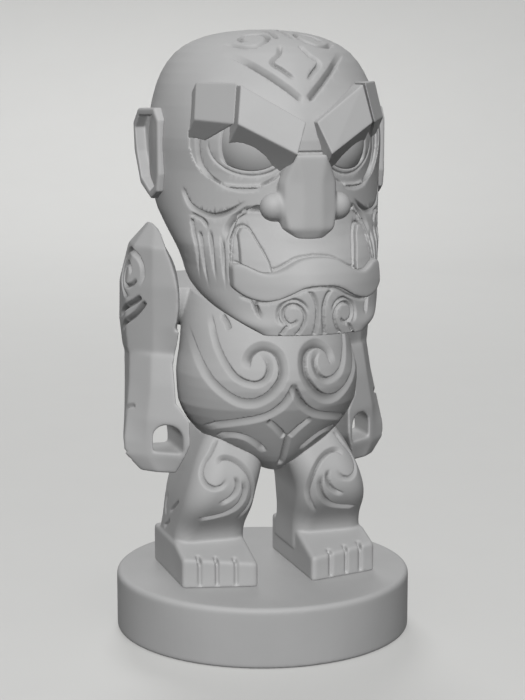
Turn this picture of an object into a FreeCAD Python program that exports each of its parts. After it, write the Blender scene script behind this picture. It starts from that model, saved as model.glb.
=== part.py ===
import FreeCAD, Part
import math
import os

V = FreeCAD.Vector

# ---------------------------------------------------------------- driving sizes (mm)
# +Z is up, the figure faces -Y, its left hand is on +X. Z = 0 is the plinth's underside.

# how finely the ovals of the head and the torso are laid
OVAL_STEPS = 16
OVAL_SPACING = 3.0
OVAL_SEARCH = 0.2

# tools that cut from the front start here and run this far back
FRONT_TOOL_Y = -70.0
FRONT_TOOL_DEPTH = 60.0
TOOL_REACH = 10.0

# plinth
PLINTH_R = 45.0
PLINTH_H = 18.0
PLINTH_TOP_ROUND = 1.5
PLINTH_FOOT_ROUND = 0.8

# legs: level, inner x, outer x, front y, back y, corner radius
LEG_SECTIONS = (
    (24.0, 8.0, 30.2, -8.5, 15.5, 4.0),
    (29.5, 8.0, 29.8, -9.0, 14.5, 4.5),
    (34.0, 7.8, 29.4, -11.0, 14.0, 5.5),
    (39.0, 7.2, 29.0, -15.6, 14.0, 6.5),
    (44.5, 6.6, 28.2, -19.0, 14.5, 7.5),
    (50.0, 5.2, 26.6, -19.4, 15.0, 8.0),
    (56.0, 3.6, 24.2, -17.2, 15.0, 7.5),
    (62.0, 3.6, 20.8, -13.6, 14.0, 6.0),
    (66.0, 4.6, 17.0, -10.0, 12.0, 4.0),
)

# feet, in plan, and the slope of their upper side
FOOT_INNER_X = 8.4
FOOT_OUTER_X = 30.4
FOOT_FRONT_INNER_Y = -22.4
FOOT_FRONT_OUTER_Y = -17.0
FOOT_HEEL_Y = 16.5
FOOT_TOE_TOP = 25.2
FOOT_INSTEP_TOP = 29.8
FOOT_INSTEP_Y = -8.0
FOOT_ROUND = 1.2
TOE_GAP_X = (14.9, 20.4, 25.4)
TOE_GAP_W = 1.1
TOE_GAP_DEPTH = 0.9
TOE_GAP_LENGTH = 3.0
TOE_GAP_FLOOR = 0.6
TOE_GAP_TOP_DEPTH = 0.2

# screws that hold the feet on the plinth
SCREW_X = 19.0
SCREW_Y = (-6.0, 9.0)
SCREW_R = 1.5
SCREW_CLEARANCE = 0.1
SCREW_END_Z = 30.0
SCREW_HEAD_R = 2.8
SCREW_HEAD_H = 2.4
SCREW_SEAT_Z = 4.6
SCREW_SINK_CLEARANCE = 0.4
SCREW_KEY_R = 1.2
SCREW_KEY_DEPTH = 1.4

# dowels between the legs and the torso
DOWEL_X = 13.0
DOWEL_Y = -1.0
DOWEL_R = 2.5
DOWEL_Z = (46.0, 68.0)

# torso: level, half width, front y, back y
TORSO_SECTIONS = (
    (51.0, 3.2, -13.0, 3.0),
    (55.0, 10.0, -17.6, 9.0),
    (59.0, 16.6, -20.4, 13.0),
    (63.0, 21.6, -22.8, 16.0),
    (67.0, 24.8, -25.0, 18.0),
    (73.0, 27.2, -28.0, 20.0),
    (80.0, 27.5, -29.6, 21.5),
    (88.0, 26.0, -27.6, 22.5),
    (97.0, 24.6, -22.5, 22.5),
    (106.0, 22.0, -16.0, 21.5),
    (114.0, 17.0, -8.0, 19.0),
)
TORSO_TOP_FRONT_Z = 99.0
TORSO_TOP_FRONT_Y = -25.0
TORSO_TOP_SLOPE = 0.24
TORSO_TOP_REACH = (20.0, 70.0)
TORSO_TOP_HEIGHT = 50.0

# neck: the post stands in the torso and the head turns on it
NECK_Y = 2.0
NECK_R = 6.0
NECK_POST_Z = (84.0, 124.0)
NECK_RUNNING_CLEARANCE = 0.06
NECK_END_CLEARANCE = 0.5
NECK_SEAT_Z = 101.0
NECK_WASHER_H = 2.0
NECK_WASHER_R = 9.8
NECK_WASHER_BORE_CLEARANCE = 0.3
NECK_BOSS_R = 10.2
NECK_WELL_R = 11.2
NECK_BOSS_TOP_Z = 118.0
HEAD_WELL_CLEARANCE = 0.6
HEAD_WELL_DEPTH = 8.0

# shoulders: the axle of each arm lies along X
SHOULDER_Y = 10.0
SHOULDER_Z = 102.0
SHOULDER_BOSS_R = 9.0
SHOULDER_FACE_X = 26.0
SHOULDER_PIN_R = 3.0
SHOULDER_PIN_X = (13.0, 34.0)
SHOULDER_RUNNING_CLEARANCE = 0.05
SHOULDER_END_CLEARANCE = 0.5

# inner side of an arm: distance from the shoulder axle, x
ARM_INNER = (
    (0.0, 26.4),
    (13.0, 26.4),
    (18.0, 27.2),
    (22.0, 28.2),
    (33.5, 28.3),
    (39.5, 25.1),
    (46.5, 25.1),
    (57.0, 29.8),
    (80.0, 29.8),
)
# the same above a level, where the shoulder passes beside the jaw
ARM_BESIDE_JAW = (
    (0.0, 26.4),
    (12.0, 26.4),
    (18.0, 29.9),
    (20.0, 29.9),
    (22.0, 31.2),
    (40.0, 31.2),
)
ARM_BESIDE_JAW_Z = 93.0

# arm: level, then five corners (x, y): inner front, front outer, outer front, outer back, inner back
FOREARM_SECTIONS = (
    (49.8, (27.0, -4.5), (33.5, -1.0), (37.5, 3.5), (36.5, 9.0), (27.0, 9.5)),
    (55.0, (24.0, -8.6), (36.4, 0.4), (42.0, 5.4), (40.6, 11.5), (24.0, 12.0)),
    (59.0, (24.0, -9.2), (36.6, 0.6), (42.2, 6.0), (40.8, 12.5), (24.0, 12.5)),
    (66.0, (24.0, -8.6), (36.2, 0.4), (41.0, 7.6), (39.8, 15.0), (24.0, 15.0)),
    (76.0, (24.0, -6.4), (34.8, 1.4), (39.4, 10.0), (38.4, 20.0), (24.0, 20.0)),
    (85.2, (24.0, -3.0), (34.0, 3.4), (38.6, 12.0), (37.8, 22.4), (24.0, 22.4)),
)
UPPER_ARM_SECTIONS = (
    (85.2, (24.0, -2.4), (33.4, 3.6), (39.0, 12.4), (38.2, 22.8), (24.0, 22.8)),
    (94.0, (24.0, -6.2), (33.4, 2.8), (39.8, 12.4), (39.0, 23.6), (24.0, 23.8)),
    (106.0, (24.0, -7.2), (33.8, 2.0), (39.6, 11.0), (38.8, 23.4), (24.0, 24.0)),
    (117.6, (24.0, -5.0), (33.6, 2.0), (37.6, 9.6), (36.6, 20.0), (24.0, 21.6)),
    (124.4, (26.0, 8.0), (30.6, 8.8), (32.2, 11.5), (31.8, 14.8), (26.0, 15.8)),
)
ARM_ROUND = 1.6

# the fist's grip, open along Y: an arch on a flat floor
GRIP_X = 30.8
GRIP_W = 7.6
GRIP_Z = (56.4, 64.6)

# head: level, half width, front y, back y, and how much narrower the front is than the back
HEAD_SECTIONS = (
    (97.6, 14.6, -50.4, -41.0),
    (100.6, 19.6, -51.1, -30.0),
    (104.2, 24.0, -51.4, -8.0),
    (107.4, 26.2, -51.4, 5.0),
    (111.0, 27.5, -51.2, 14.0),
    (116.0, 28.4, -49.8, 17.5),
    (120.5, 30.0, -46.6, 19.5),
    (125.0, 31.4, -42.8, 24.5),
    (131.0, 33.0, -40.4, 30.5),
    (140.0, 34.0, -40.0, 35.3),
    (149.0, 34.3, -41.6, 37.0),
    (157.0, 33.6, -40.0, 36.2),
    (164.0, 32.0, -36.8, 34.2),
    (170.0, 29.4, -32.8, 31.4),
    (175.0, 25.4, -27.6, 26.8),
    (178.4, 19.4, -20.8, 21.0),
    (180.4, 11.8, -12.6, 13.6),
    (181.2, 4.0, -4.0, 5.4),
)
HEAD_EGG = 0.18

# mouth: outlines in the front view (x, z), right half from the middle outwards
MOUTH_PLATE_DEPTH = 1.2
LIP_THICKNESS = 2.8
FANG_RELIEF = 0.9
MOUTH_OUTLINE = ((0.0, 130.0), (7.0, 132.4), (13.4, 132.6), (18.0, 129.0), (20.6, 123.0), (21.4, 116.0),
                 (21.4, 112.0), (0.0, 114.0))
LIP_TOP = ((0.0, 119.2), (5.5, 118.4), (10.6, 115.6), (15.0, 115.0), (20.8, 117.0), (21.8, 116.4))
LIP_BOTTOM = ((21.8, 110.6), (20.0, 108.8), (14.6, 107.2), (9.0, 109.0), (5.0, 111.0), (0.0, 111.6))
FANG_OUTLINE = ((12.2, 112.0), (12.9, 117.6), (15.4, 124.8), (16.3, 126.4), (17.6, 126.5), (18.6, 124.8),
                (19.1, 118.0), (19.2, 112.0))

# eyes: oval outline in the front view, flat back, domed front; then the sunken oval around each
EYE_CENTRE = (14.4, 149.2)
EYE_HALF_ACROSS = 8.6
EYE_HALF_UP = 7.1
EYE_FIT = 0.05
EYE_BACK_Y = -28.0
EYE_DOME_R = 12.5
EYE_DOME_CENTRE = (9.0, -25.6, 149.4)
EYE_AREA = ((28.6, 152.0), (28.2, 146.5), (25.8, 141.5), (21.5, 138.6), (15.5, 137.9), (9.0, 139.8),
            (6.4, 144.0), (9.0, 150.0), (18.0, 157.0), (26.0, 157.6))
EYE_AREA_DEPTH = 1.5

# brows: the front face of each block, then how far it is carried back into the head
BROW_INNER_FACE = ((18.0, -35.8, 165.9), (1.6, -43.6, 155.8), (5.0, -46.4, 147.2), (19.8, -39.0, 155.4))
BROW_OUTER_FACE = ((18.8, -35.2, 166.3), (20.6, -38.4, 155.4), (28.4, -25.4, 156.2), (26.9, -22.2, 166.5))
BROW_DEPTH = (0.0, 15.0, 0.0)
BROW_UNDERCUT = (0.9, 15.0, -11.4)

# nose: level, then the right half of each outline (x, y) from the middle outwards; nostril wings
NOSE_SECTIONS = (
    (123.4, (1.8, -43.4), (3.6, -42.6), (4.4, -40.0), (4.6, -34.0)),
    (126.4, (2.8, -45.0), (6.6, -43.8), (7.6, -41.0), (7.8, -34.0)),
    (131.0, (2.8, -44.9), (7.6, -43.0), (8.4, -40.0), (8.6, -34.0)),
    (139.3, (2.8, -44.6), (7.4, -42.8), (8.4, -40.5), (8.6, -34.0)),
    (144.0, (3.8, -44.5), (5.6, -43.6), (6.6, -40.8), (6.8, -34.0)),
    (147.0, (4.3, -44.4), (4.6, -44.0), (5.0, -42.0), (5.2, -34.0)),
)
WING_CENTRE = (9.3, -38.6, 132.3)
WING_R = 4.1

# ears: outline in the side view (y, z) and its slab
EAR_OUTLINE = ((-10.6, 155.6), (-7.4, 159.0), (4.6, 158.6), (8.4, 154.4), (7.6, 146.0), (3.2, 136.6),
               (-4.6, 132.6), (-9.4, 135.0), (-10.8, 140.0))
EAR_OUTER_X = 37.6
EAR_INNER_X = 29.0
EAR_TURN = 8.0
EAR_TURN_Y = 8.0
EAR_RIM = 2.4
EAR_BOWL_DEPTH = 3.2
EAR_ROUND = 0.8
EAR_HOLE_R = 1.3
EAR_HOLE_DEPTH = 1.6
EAR_HOLE_YZ = (0.0, 150.0)


# ---------------------------------------------------------------- shared shapes

def oval_wire(level, half_width, front, back, egg):
    """Closed oval, flat at one level, narrower towards the front by up to the share egg."""
    middle = (front + back) / 2
    depth = (back - front) / 2
    points = []
    for step in range(OVAL_STEPS):
        turn = 2 * math.pi * step / OVAL_STEPS
        narrowing = egg * max(math.cos(turn), 0) ** 2
        across = half_width * math.sin(turn) * (1 - narrowing)
        points.append(V(across, middle - depth * math.cos(turn), level))
    curve = Part.BSplineCurve()
    curve.interpolate(Points=points, PeriodicFlag=True)
    return Part.Wire(curve.toShape())


def steady_slopes(levels, values):
    """Slope at each level for a curve that never swings past its own points."""
    steps = [(b - a) / (q - p) for a, b, p, q in zip(values, values[1:], levels, levels[1:])]
    slopes = [steps[0]]
    for before, after in zip(steps, steps[1:]):
        slopes.append(2 * before * after / (before + after) if before * after > 0 else 0.0)
    slopes.append(steps[-1])
    return slopes


def steady_value(levels, values, slopes, level):
    """Value of that curve at a level."""
    index = max(i for i in range(len(levels) - 1) if levels[i] <= level)
    span = levels[index + 1] - levels[index]
    t = (level - levels[index]) / span
    return ((2 * t ** 3 - 3 * t ** 2 + 1) * values[index]
            + (t ** 3 - 2 * t ** 2 + t) * span * slopes[index]
            + (3 * t ** 2 - 2 * t ** 3) * values[index + 1]
            + (t ** 3 - t ** 2) * span * slopes[index + 1])


def oval_mass(sections, egg=0.0, grow=0.0):
    """Body through ovals, with narrow bands between close levels and every side moved out by grow."""
    levels = [section[0] for section in sections]
    columns = []
    for place in (1, 2, 3):
        values = [section[place] for section in sections]
        columns.append((values, steady_slopes(levels, values)))
    rings = []
    steps = round((levels[-1] - levels[0]) / OVAL_SEARCH)
    for step in range(steps + 1):
        level = levels[0] + (levels[-1] - levels[0]) * step / steps
        ring = [level] + [steady_value(levels, values, slopes, level) for values, slopes in columns]
        far = not rings or max(abs(a - b) for a, b in zip(ring, rings[-1])) >= OVAL_SPACING
        if far or step == steps:
            rings.append(ring)
    wires = [oval_wire(level, half + grow, front - grow, back + grow, egg) for level, half, front, back in rings]
    return Part.makeLoft(wires, True, True)


def skull_mass(grow=0.0):
    """The head before anything is cut into it."""
    return oval_mass(HEAD_SECTIONS, HEAD_EGG, grow)


def rounded_box_wire(level, x_low, x_high, y_low, y_high, radius):
    """Rounded rectangle at one level: four straight sides and four quarter arcs."""
    half = radius * (1 - math.sqrt(0.5))
    corners = (
        (V(x_high - radius, y_low, level), V(x_high - half, y_low + half, level), V(x_high, y_low + radius, level)),
        (V(x_high, y_high - radius, level), V(x_high - half, y_high - half, level), V(x_high - radius, y_high, level)),
        (V(x_low + radius, y_high, level), V(x_low + half, y_high - half, level), V(x_low, y_high - radius, level)),
        (V(x_low, y_low + radius, level), V(x_low + half, y_low + half, level), V(x_low + radius, y_low, level)),
    )
    edges = []
    for index, (start, middle, end) in enumerate(corners):
        edges.append(Part.Arc(start, middle, end).toShape())
        following = corners[(index + 1) % len(corners)][0]
        edges.append(Part.makeLine(end, following))
    return Part.Wire(edges)


def polygon_face(points):
    """Flat face inside a closed run of straight sides."""
    return Part.Face(Part.makePolygon(list(points) + [points[0]]))


def mirrored(shape):
    """The same shape on the other side of the figure's middle."""
    return shape.mirror(V(0, 0, 0), V(1, 0, 0))


def on_side(shape, side):
    """A left-hand shape, or its mirror image for the right hand (side -1)."""
    return shape if side > 0 else mirrored(shape)


def front_prism(points):
    """Outline in the front view carried straight back."""
    face = polygon_face([V(x, FRONT_TOOL_Y, z) for x, z in points])
    return face.extrude(V(0, FRONT_TOOL_DEPTH, 0))


def soft(shape, radius):
    """Round every edge, or leave the block sharp where the rounding has no room."""
    try:
        rounded = shape.makeFillet(radius, shape.Edges)
        if rounded.isValid() and rounded.Volume > 0:
            return rounded
    except Exception:
        pass
    return shape


# ---------------------------------------------------------------- plinth, feet and legs

def screw_places():
    """Where the four foot screws stand."""
    return [V(side * SCREW_X, y, 0) for side in (1, -1) for y in SCREW_Y]


def plinth():
    disc = Part.makeCylinder(PLINTH_R, PLINTH_H)
    top = [e for e in disc.Edges if abs(e.BoundBox.ZMin - PLINTH_H) < 1e-6]
    disc = disc.makeFillet(PLINTH_TOP_ROUND, top)
    foot = [e for e in disc.Edges if abs(e.BoundBox.ZMax) < 1e-6]
    disc = disc.makeFillet(PLINTH_FOOT_ROUND, foot)
    for place in screw_places():
        sink = Part.makeCylinder(SCREW_HEAD_R + SCREW_SINK_CLEARANCE, SCREW_SEAT_Z, place)
        hole = Part.makeCylinder(SCREW_R + SCREW_CLEARANCE, PLINTH_H, place)
        disc = disc.cut(sink.fuse(hole))
    return disc


def foot_screws():
    screws = []
    for place in screw_places():
        seat = place + V(0, 0, SCREW_SEAT_Z)
        shank = Part.makeCylinder(SCREW_R, SCREW_END_Z - SCREW_SEAT_Z, seat)
        head = Part.makeCylinder(SCREW_HEAD_R, SCREW_HEAD_H, seat - V(0, 0, SCREW_HEAD_H))
        key = Part.makeCylinder(SCREW_KEY_R, SCREW_KEY_DEPTH, seat - V(0, 0, SCREW_HEAD_H))
        screws.append(shank.fuse(head).removeSplitter().cut(key))
    return Part.makeCompound(screws)


def foot_block():
    """Foot with a sloping upper side and three gaps between its toes."""
    plan = [
        V(FOOT_INNER_X, FOOT_HEEL_Y, PLINTH_H),
        V(FOOT_INNER_X, FOOT_FRONT_INNER_Y, PLINTH_H),
        V(FOOT_OUTER_X, FOOT_FRONT_OUTER_Y, PLINTH_H),
        V(FOOT_OUTER_X, FOOT_HEEL_Y, PLINTH_H),
    ]
    block = polygon_face(plan).extrude(V(0, 0, FOOT_INSTEP_TOP - PLINTH_H))
    slope = (FOOT_INSTEP_TOP - FOOT_TOE_TOP) / (FOOT_INSTEP_Y - FOOT_FRONT_INNER_Y)
    wedge = polygon_face([
        V(0, FOOT_INSTEP_Y, FOOT_INSTEP_TOP),
        V(0, FOOT_FRONT_INNER_Y - TOOL_REACH, FOOT_TOE_TOP - slope * TOOL_REACH),
        V(0, FOOT_FRONT_INNER_Y - TOOL_REACH, FOOT_INSTEP_TOP + TOOL_REACH),
        V(0, FOOT_INSTEP_Y, FOOT_INSTEP_TOP + TOOL_REACH),
    ]).extrude(V(FOOT_OUTER_X + TOOL_REACH, 0, 0))
    block = block.cut(wedge)
    upper = [e for e in block.Edges if e.BoundBox.ZMax > PLINTH_H + 1.0]
    block = block.makeFillet(FOOT_ROUND, upper)
    for x in TOE_GAP_X:
        share = (x - FOOT_INNER_X) / (FOOT_OUTER_X - FOOT_INNER_X)
        front = FOOT_FRONT_INNER_Y + share * (FOOT_FRONT_OUTER_Y - FOOT_FRONT_INNER_Y)
        start = V(x - TOE_GAP_W / 2, front - TOOL_REACH, 0)
        face_gap = Part.makeBox(TOE_GAP_W, TOE_GAP_DEPTH + TOOL_REACH, TOOL_REACH,
                                start + V(0, 0, PLINTH_H + TOE_GAP_FLOOR))
        top_gap = Part.makeBox(TOE_GAP_W, TOE_GAP_LENGTH + TOOL_REACH, TOOL_REACH,
                               start + V(0, 0, FOOT_TOE_TOP - TOE_GAP_TOP_DEPTH))
        block = block.cut(face_gap).cut(top_gap)
    return block


def leg(body):
    """Left leg: stout column with a forward knee, standing on its foot, cut to the torso."""
    wires = []
    for section in LEG_SECTIONS:
        wires.append(rounded_box_wire(*section))
    column = Part.makeLoft(wires, True, False)
    shape = column.fuse(foot_block()).removeSplitter()
    shape = shape.cut(body)
    for place in screw_places():
        shape = shape.cut(Part.makeCylinder(SCREW_R, SCREW_END_Z - PLINTH_H, place + V(0, 0, PLINTH_H)))
    shape = shape.cut(dowel(1))
    return largest_solid(shape)


def largest_solid(shape):
    """The main solid of a cut, without slivers."""
    return sorted(shape.Solids, key=lambda s: s.Volume)[-1]


def dowel(side):
    """Wooden peg between a leg and the torso."""
    return Part.makeCylinder(DOWEL_R, DOWEL_Z[1] - DOWEL_Z[0], V(side * DOWEL_X, DOWEL_Y, DOWEL_Z[0]))


def hip_dowels():
    return Part.makeCompound([dowel(1), dowel(-1)])


# ---------------------------------------------------------------- torso and neck

def torso_mass():
    """Belly and chest with shoulder bosses, cut off under the jaw by a sloping plane."""
    mass = oval_mass(TORSO_SECTIONS)
    boss = Part.makeCylinder(SHOULDER_BOSS_R, 2 * SHOULDER_FACE_X,
                             V(-SHOULDER_FACE_X, SHOULDER_Y, SHOULDER_Z), V(1, 0, 0))
    mass = mass.fuse(boss)
    forward, backward = TORSO_TOP_REACH
    y_front = TORSO_TOP_FRONT_Y - forward
    y_back = TORSO_TOP_FRONT_Y + backward
    z_front = TORSO_TOP_FRONT_Z - forward * TORSO_TOP_SLOPE
    z_back = TORSO_TOP_FRONT_Z + backward * TORSO_TOP_SLOPE
    above = polygon_face([
        V(-PLINTH_R, y_front, z_front),
        V(-PLINTH_R, y_back, z_back),
        V(-PLINTH_R, y_back, z_back + TORSO_TOP_HEIGHT),
        V(-PLINTH_R, y_front, z_front + TORSO_TOP_HEIGHT),
    ]).extrude(V(2 * PLINTH_R, 0, 0))
    return mass.cut(above)


def torso():
    shape = torso_mass()
    well_h = NECK_BOSS_TOP_Z - NECK_SEAT_Z
    shape = shape.cut(Part.makeCylinder(NECK_WELL_R, well_h, V(0, NECK_Y, NECK_SEAT_Z)))
    shape = shape.cut(Part.makeCylinder(NECK_R, NECK_SEAT_Z, V(0, NECK_Y, NECK_POST_Z[0])))
    pin_room = SHOULDER_PIN_R + SHOULDER_RUNNING_CLEARANCE
    start = SHOULDER_PIN_X[0] - SHOULDER_END_CLEARANCE
    for side in (1, -1):
        shape = shape.cut(dowel(side))
        shape = shape.cut(Part.makeCylinder(pin_room, SHOULDER_FACE_X, V(side * start, SHOULDER_Y, SHOULDER_Z),
                                            V(side, 0, 0)))
    return largest_solid(shape)


def neck_post():
    return Part.makeCylinder(NECK_R, NECK_POST_Z[1] - NECK_POST_Z[0], V(0, NECK_Y, NECK_POST_Z[0]))


def neck_washer():
    place = V(0, NECK_Y, NECK_SEAT_Z)
    ring = Part.makeCylinder(NECK_WASHER_R, NECK_WASHER_H, place)
    return ring.cut(Part.makeCylinder(NECK_R + NECK_WASHER_BORE_CLEARANCE, NECK_WASHER_H, place))


# ---------------------------------------------------------------- arms

def corner_loft(sections):
    """Facetted block through outlines that have the same corners at each level."""
    wires = []
    for section in sections:
        points = [V(x, y, section[0]) for x, y in section[1:]]
        wires.append(Part.makePolygon(points + [points[0]]))
    return Part.makeLoft(wires, True, True)


def arm_room(profile):
    """Round space, about the shoulder axle, that the arm's inner side leaves free as it swings."""
    points = [V(0, SHOULDER_Y, SHOULDER_Z)]
    for distance, x in profile:
        points.append(V(x, SHOULDER_Y, SHOULDER_Z + distance))
    points.append(V(0, SHOULDER_Y, SHOULDER_Z + profile[-1][0]))
    return polygon_face(points).revolve(V(0, SHOULDER_Y, SHOULDER_Z), V(1, 0, 0), 360)


def jaw_room():
    """The wider space at the top of the arm, where the jaw turns past it."""
    size = 2 * PLINTH_R
    above = Part.makeBox(size, 2 * size, size, V(0, -size, ARM_BESIDE_JAW_Z))
    return arm_room(ARM_BESIDE_JAW).common(above)


def grip():
    """The fist's through hole: an arch that stands on a flat floor."""
    radius = GRIP_W / 2
    spring = GRIP_Z[1] - radius
    left = GRIP_X - radius
    right = GRIP_X + radius
    low = GRIP_Z[0]
    top = V(GRIP_X, FRONT_TOOL_Y, GRIP_Z[1])
    corners = [V(left, FRONT_TOOL_Y, spring), V(left, FRONT_TOOL_Y, low), V(right, FRONT_TOOL_Y, low),
               V(right, FRONT_TOOL_Y, spring)]
    edges = [Part.makeLine(a, b) for a, b in zip(corners, corners[1:])]
    edges.append(Part.Arc(corners[-1], top, corners[0]).toShape())
    return Part.Face(Part.Wire(edges)).extrude(V(0, 2 * FRONT_TOOL_DEPTH, 0))


def arm():
    """Left arm: facetted shoulder, forearm and fist with a grip to hold a rod."""
    upper = corner_loft(UPPER_ARM_SECTIONS)
    lower = corner_loft(FOREARM_SECTIONS)
    shape = upper.fuse(lower)
    shape = soft(shape, ARM_ROUND)
    shape = shape.cut(arm_room(ARM_INNER)).cut(jaw_room())
    shape = shape.cut(grip())
    shape = shape.cut(shoulder_pin(1))
    return largest_solid(shape)


def shoulder_pin(side):
    """Steel axle of one arm."""
    length = SHOULDER_PIN_X[1] - SHOULDER_PIN_X[0]
    return Part.makeCylinder(SHOULDER_PIN_R, length, V(side * SHOULDER_PIN_X[0], SHOULDER_Y, SHOULDER_Z),
                             V(side, 0, 0))


# ---------------------------------------------------------------- head

def mouth_recess():
    """Room for the mouth plate: the outline, a little below the head's surface."""
    whole = [(-x, z) for x, z in reversed(MOUTH_OUTLINE) if x > 0] + list(MOUTH_OUTLINE[:-1])
    return front_prism(whole).cut(skull_mass(-MOUTH_PLATE_DEPTH))


def smooth_prism(points, depth=FRONT_TOOL_DEPTH):
    """Closed smooth curve in the front view carried straight back."""
    curve = Part.BSplineCurve()
    curve.interpolate(Points=[V(x, FRONT_TOOL_Y, z) for x, z in points], PeriodicFlag=True)
    return Part.Face(Part.Wire(curve.toShape())).extrude(V(0, depth, 0))


def socket(side, clearance=EYE_FIT):
    """Oval pocket for an eye, with a flat floor."""
    half_x = EYE_HALF_ACROSS + clearance
    half_z = EYE_HALF_UP + clearance
    points = []
    for step in range(OVAL_STEPS):
        turn = 2 * math.pi * step / OVAL_STEPS
        points.append((side * EYE_CENTRE[0] + half_x * math.cos(turn), EYE_CENTRE[1] + half_z * math.sin(turn)))
    return smooth_prism(points, EYE_BACK_Y + clearance - FRONT_TOOL_Y)


def eye(side):
    """Eye that is set in its pocket: the same oval under a dome."""
    x, y, z = EYE_DOME_CENTRE
    dome = Part.makeSphere(EYE_DOME_R, V(side * x, y, z))
    return largest_solid(socket(side, 0.0).common(dome))


def eye_room(side):
    """Ball a little larger than the eye's dome, kept free of the brows."""
    x, y, z = EYE_DOME_CENTRE
    return Part.makeSphere(EYE_DOME_R + EYE_FIT, V(side * x, y, z))


def eye_area(side):
    """Slightly sunken part of the face around an eye."""
    points = [(side * x, z) for x, z in EYE_AREA]
    return smooth_prism(points).cut(skull_mass(-EYE_AREA_DEPTH))


def head():
    shape = skull_mass().cut(mouth_recess())
    for side in (1, -1):
        shape = shape.cut(eye_area(side)).cut(socket(side))
    boss_base = NECK_SEAT_Z + NECK_WASHER_H
    boss = Part.makeCylinder(NECK_BOSS_R, NECK_BOSS_TOP_Z - boss_base, V(0, NECK_Y, boss_base))
    well = Part.makeCylinder(NECK_WELL_R + HEAD_WELL_CLEARANCE, HEAD_WELL_DEPTH,
                             V(0, NECK_Y, boss_base - HEAD_WELL_DEPTH))
    shape = shape.cut(well).fuse(boss)
    bore_top = NECK_POST_Z[1] + NECK_END_CLEARANCE
    bore = Part.makeCylinder(NECK_R + NECK_RUNNING_CLEARANCE, bore_top - boss_base + TOOL_REACH,
                             V(0, NECK_Y, boss_base - TOOL_REACH))
    return largest_solid(shape.cut(bore))


def smooth_edge(outline):
    """Smooth curve in the front view through an outline and its mirror image."""
    left_half = [V(-x, FRONT_TOOL_Y, z) for x, z in reversed(outline) if x > 0]
    points = left_half + [V(x, FRONT_TOOL_Y, z) for x, z in outline]
    curve = Part.BSplineCurve()
    curve.interpolate(points)
    return curve.toShape()


def lower_lip(skull):
    """Wavy band that stands out from the jaw."""
    top = smooth_edge(LIP_TOP)
    bottom = smooth_edge(list(reversed(LIP_BOTTOM)))
    ends = []
    for side in (1, -1):
        ends.append(Part.makeLine(V(side * LIP_TOP[-1][0], FRONT_TOOL_Y, LIP_TOP[-1][1]),
                                  V(side * LIP_BOTTOM[0][0], FRONT_TOOL_Y, LIP_BOTTOM[0][1])))
    outline = Part.Wire(Part.__sortEdges__([top, bottom] + ends))
    band = Part.Face(outline).extrude(V(0, FRONT_TOOL_DEPTH, 0)).common(skull_mass(LIP_THICKNESS))
    return largest_solid(band.cut(skull))


def fang(skull, lip, side):
    outline = [(side * x, z) for x, z in FANG_OUTLINE]
    tooth = front_prism(outline).common(skull_mass(FANG_RELIEF))
    return largest_solid(tooth.cut(skull).cut(lip))


def block_from_face(face, depth, undercut):
    """Block whose front face is given; its lower side falls away backwards."""
    top_left, top_right, low_right, low_left = [V(*p) for p in face]
    back = V(*depth)
    fall = V(*undercut)
    front = [top_left, top_right, low_right, low_left]
    rear = [top_left + back, top_right + back, low_right + fall, low_left + fall]
    sides = [Part.Face(Part.makePolygon([front[0], front[1], front[2], front[0]])),
             Part.Face(Part.makePolygon([front[0], front[2], front[3], front[0]])),
             Part.Face(Part.makePolygon([rear[0], rear[2], rear[1], rear[0]])),
             Part.Face(Part.makePolygon([rear[0], rear[3], rear[2], rear[0]]))]
    for a in range(4):
        b = (a + 1) % 4
        sides.append(Part.Face(Part.makePolygon([front[a], rear[a], rear[b], front[a]])))
        sides.append(Part.Face(Part.makePolygon([front[a], rear[b], front[b], front[a]])))
    solid = Part.Solid(Part.Shell(sides))
    if solid.Volume < 0:
        solid.reverse()
    return solid


def inner_brow(skull, side):
    block = on_side(block_from_face(BROW_INNER_FACE, BROW_DEPTH, BROW_UNDERCUT), side)
    return largest_solid(block.cut(skull).cut(eye_room(side)))


def outer_brow(skull, side, neighbour):
    block = on_side(block_from_face(BROW_OUTER_FACE, BROW_DEPTH, BROW_UNDERCUT), side)
    return largest_solid(block.cut(skull).cut(eye_room(side)).cut(neighbour))


def nose(skull, brows):
    wires = []
    for section in NOSE_SECTIONS:
        right = section[1:]
        outline = [V(-x, y, section[0]) for x, y in reversed(right)]
        outline = outline + [V(x, y, section[0]) for x, y in right]
        wires.append(Part.makePolygon(outline + [outline[0]]))
    block = Part.makeLoft(wires, True, True)
    if block.Volume < 0:
        block.reverse()
    for side in (1, -1):
        wing = Part.makeSphere(WING_R, V(side * WING_CENTRE[0], WING_CENTRE[1], WING_CENTRE[2]))
        block = block.fuse(wing)
    block = block.cut(skull)
    for brow in brows:
        block = block.cut(brow)
    return largest_solid(block)


def ear_outline_face(shrink):
    middle_y = sum(y for y, z in EAR_OUTLINE) / len(EAR_OUTLINE)
    middle_z = sum(z for y, z in EAR_OUTLINE) / len(EAR_OUTLINE)
    points = []
    for y, z in EAR_OUTLINE:
        reach = math.hypot(y - middle_y, z - middle_z)
        share = (reach - shrink) / reach
        points.append(V(0, middle_y + (y - middle_y) * share, middle_z + (z - middle_z) * share))
    return polygon_face(points)


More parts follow.
